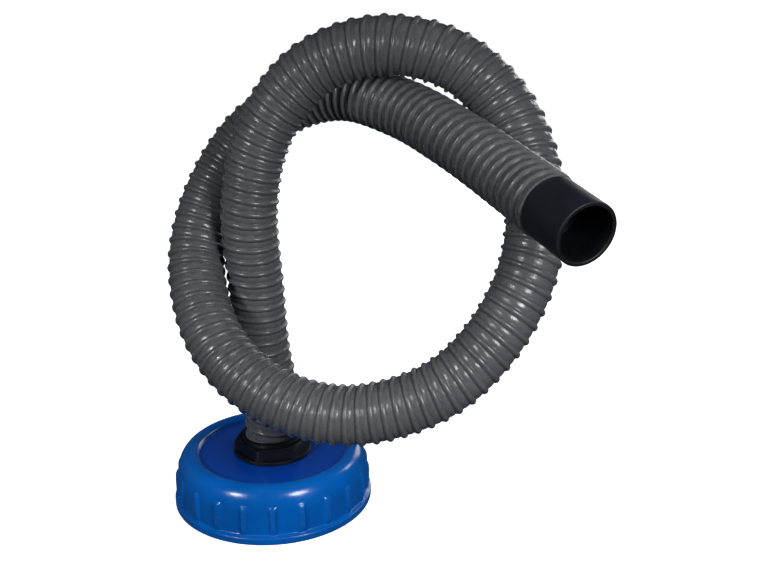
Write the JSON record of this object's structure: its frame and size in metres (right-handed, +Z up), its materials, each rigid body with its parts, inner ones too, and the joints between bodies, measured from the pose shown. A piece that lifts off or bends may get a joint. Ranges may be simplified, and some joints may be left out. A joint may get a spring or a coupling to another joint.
{
  "type": "waste water hose kit",
  "caption": "Ribbed grey drain hose with a blue ribbed screw cap for a tank neck at one end, clamped on by a hex lock nut, and a black push-in cuff at the other.",
  "frame": {"origin": "centre of the cap's bottom rim, on the surface the cap stands on", "axes": "+Z up along the cap's axis and the hose tail, towards the hose; -Y towards the side where the end cuff points; +X towards the right side of the hose's loop"},
  "size_m": [0.2076, 0.1828, 0.2618],
  "materials": {
    "cap_plastic": "moulded, glossy, with fine scuffs",
    "seal_rubber": "moulded, matte",
    "fitting_plastic": "moulded, satin",
    "hose_vinyl": "extruded vinyl, semi-gloss",
    "cuff_plastic": "extruded, satin"
  },
  "bodies": {
    "cap": {"screw_cap": "cap_plastic", "cap_gasket": "seal_rubber"},
    "hose_line": {"hose_tail": "fitting_plastic", "tail_seal": "seal_rubber", "hose": "hose_vinyl"},
    "nut": {"lock_nut": "fitting_plastic"},
    "cuff": {"end_cuff": "cuff_plastic"}
  },
  "joints": [
    {"name": "hose_swivel", "type": "hinge", "parent": "cap", "child": "hose_line", "pos_m": [0, 0, 0.0255], "axis": [0, 0, 1], "continuous": true},
    {"name": "nut_turn", "type": "hinge", "parent": "hose_line", "child": "nut", "pos_m": [0, 0, 0.0315], "axis": [0, 0, 1], "range_deg": [0, 1440]},
    {"name": "cuff_pull", "type": "slide", "parent": "hose_line", "child": "cuff", "axis": [0.4063, -0.8865, -0.2216], "range_m": [0, 0.022]}
  ]
}
